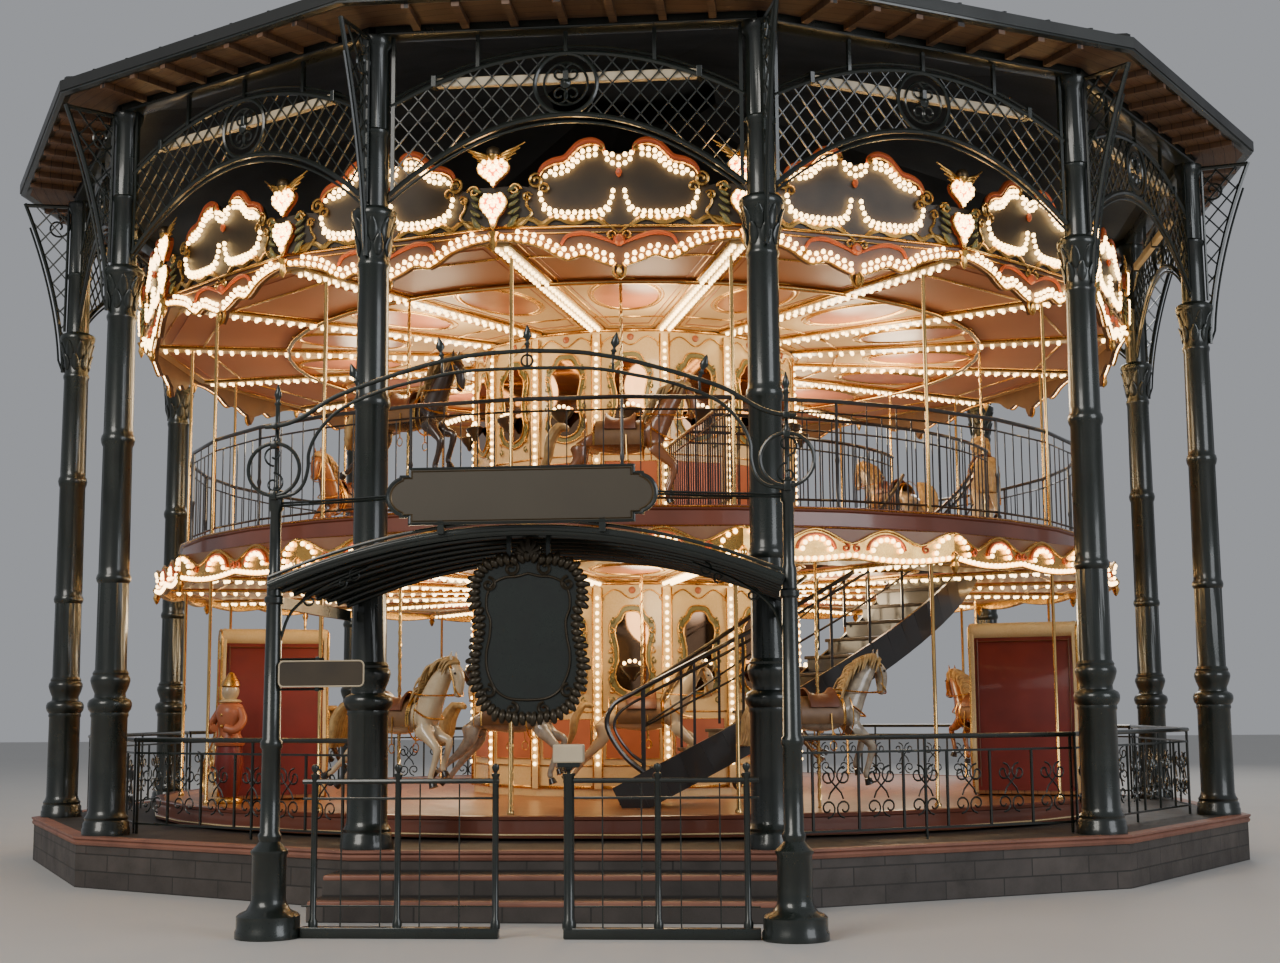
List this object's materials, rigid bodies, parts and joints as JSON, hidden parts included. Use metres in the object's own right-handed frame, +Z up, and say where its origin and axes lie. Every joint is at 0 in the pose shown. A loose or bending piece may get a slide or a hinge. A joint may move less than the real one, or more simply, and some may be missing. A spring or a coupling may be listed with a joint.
{
  "type": "double-deck fairground carousel in an iron pavilion",
  "caption": "Two-storey fairground carousel with horses, stair, drum and bulb-lit crowns, turning inside a twelve-sided iron pavilion with an entrance portal.",
  "frame": {"origin": "centre of the plinth's underside, on the axis of rotation", "axes": "+Z up along the axis, -Y towards the entrance, +X to the right seen from the entrance"},
  "size_m": [14.5276, 16.3941, 11.1],
  "materials": {
    "ironwork": "dark green-black gloss paint on cast iron",
    "stone": "dark stone plinth",
    "roofing": "dark sheet metal",
    "mast_steel": "plain steel",
    "board_paint": "painted board",
    "deck_wood": "varnished boards",
    "cream_paint": "cream gloss paint",
    "fascia_paint": "brown-red gloss paint",
    "ceiling_paint": "cream gloss paint",
    "crown_gold": "gilded carving",
    "stair_iron": "black gloss paint",
    "railing_iron": "black gloss paint",
    "horse_paint": "gloss paint on carved horses",
    "carriage_red": "red and cream gloss paint"
  },
  "bodies": {
    "pavilion": {"plinth": "stone", "entrance_steps": "stone", "column_01": "ironwork", "column_02": "ironwork", "column_03": "ironwork", "column_04": "ironwork", "column_05": "ironwork", "column_06": "ironwork", "column_07": "ironwork", "column_08": "ironwork", "column_09": "ironwork", "column_10": "ironwork", "column_11": "ironwork", "column_12": "ironwork", "frieze_front": "ironwork", "frieze_right": "ironwork", "frieze_back": "ironwork", "frieze_left": "ironwork", "railing_right": "ironwork", "railing_back_right": "ironwork", "railing_back_left": "ironwork", "railing_left": "ironwork", "roof": "roofing", "roof_cap": "roofing", "centre_mast": "mast_steel", "portal_post_left": "ironwork", "portal_post_right": "ironwork", "portal_canopy": "ironwork", "portal_overthrow": "ironwork", "sign_board": "board_paint", "shield_board": "board_paint", "fence_left": "ironwork", "fence_right": "ironwork"},
    "carousel": {"lower_deck": "deck_wood", "lower_drum": "cream_paint", "upper_drum": "cream_paint", "upper_deck": "fascia_paint", "top_ceiling": "ceiling_paint", "upper_crown": "crown_gold", "lower_crown": "crown_gold", "stair": "stair_iron", "upper_railing": "railing_iron", "stair_guard": "railing_iron", "upper_riders": "horse_paint", "carriage_right": "carriage_red", "carriage_left": "carriage_red"},
    "horse_01_body": {"horse_01": "horse_paint"},
    "horse_02_body": {"horse_02": "horse_paint"},
    "horse_03_body": {"horse_03": "horse_paint"},
    "horse_04_body": {"horse_04": "horse_paint"},
    "horse_05_body": {"horse_05": "horse_paint"},
    "horse_06_body": {"horse_06": "horse_paint"},
    "horse_07_body": {"horse_07": "horse_paint"},
    "horse_08_body": {"horse_08": "horse_paint"},
    "horse_09_body": {"horse_09": "horse_paint"}
  },
  "joints": [
    {"name": "carousel_spin", "type": "hinge", "parent": "pavilion", "child": "carousel", "pos_m": [0, 0, 0.5], "axis": [0, 0, 1], "continuous": true},
    {"name": "horse_01_gallop", "type": "slide", "parent": "carousel", "child": "horse_01_body", "axis": [0, 0, 1], "range_m": [-0.1, 0.1]},
    {"name": "horse_02_gallop", "type": "slide", "parent": "carousel", "child": "horse_02_body", "axis": [0, 0, 1], "range_m": [-0.1, 0.1]},
    {"name": "horse_03_gallop", "type": "slide", "parent": "carousel", "child": "horse_03_body", "axis": [0, 0, 1], "range_m": [-0.1, 0.1]},
    {"name": "horse_04_gallop", "type": "slide", "parent": "carousel", "child": "horse_04_body", "axis": [0, 0, 1], "range_m": [-0.1, 0.1]},
    {"name": "horse_05_gallop", "type": "slide", "parent": "carousel", "child": "horse_05_body", "axis": [0, 0, 1], "range_m": [-0.1, 0.1]},
    {"name": "horse_06_gallop", "type": "slide", "parent": "carousel", "child": "horse_06_body", "axis": [0, 0, 1], "range_m": [-0.1, 0.1]},
    {"name": "horse_07_gallop", "type": "slide", "parent": "carousel", "child": "horse_07_body", "axis": [0, 0, 1], "range_m": [-0.1, 0.1]},
    {"name": "horse_08_gallop", "type": "slide", "parent": "carousel", "child": "horse_08_body", "axis": [0, 0, 1], "range_m": [-0.1, 0.1]},
    {"name": "horse_09_gallop", "type": "slide", "parent": "carousel", "child": "horse_09_body", "axis": [0, 0, 1], "range_m": [-0.1, 0.1]}
  ]
}
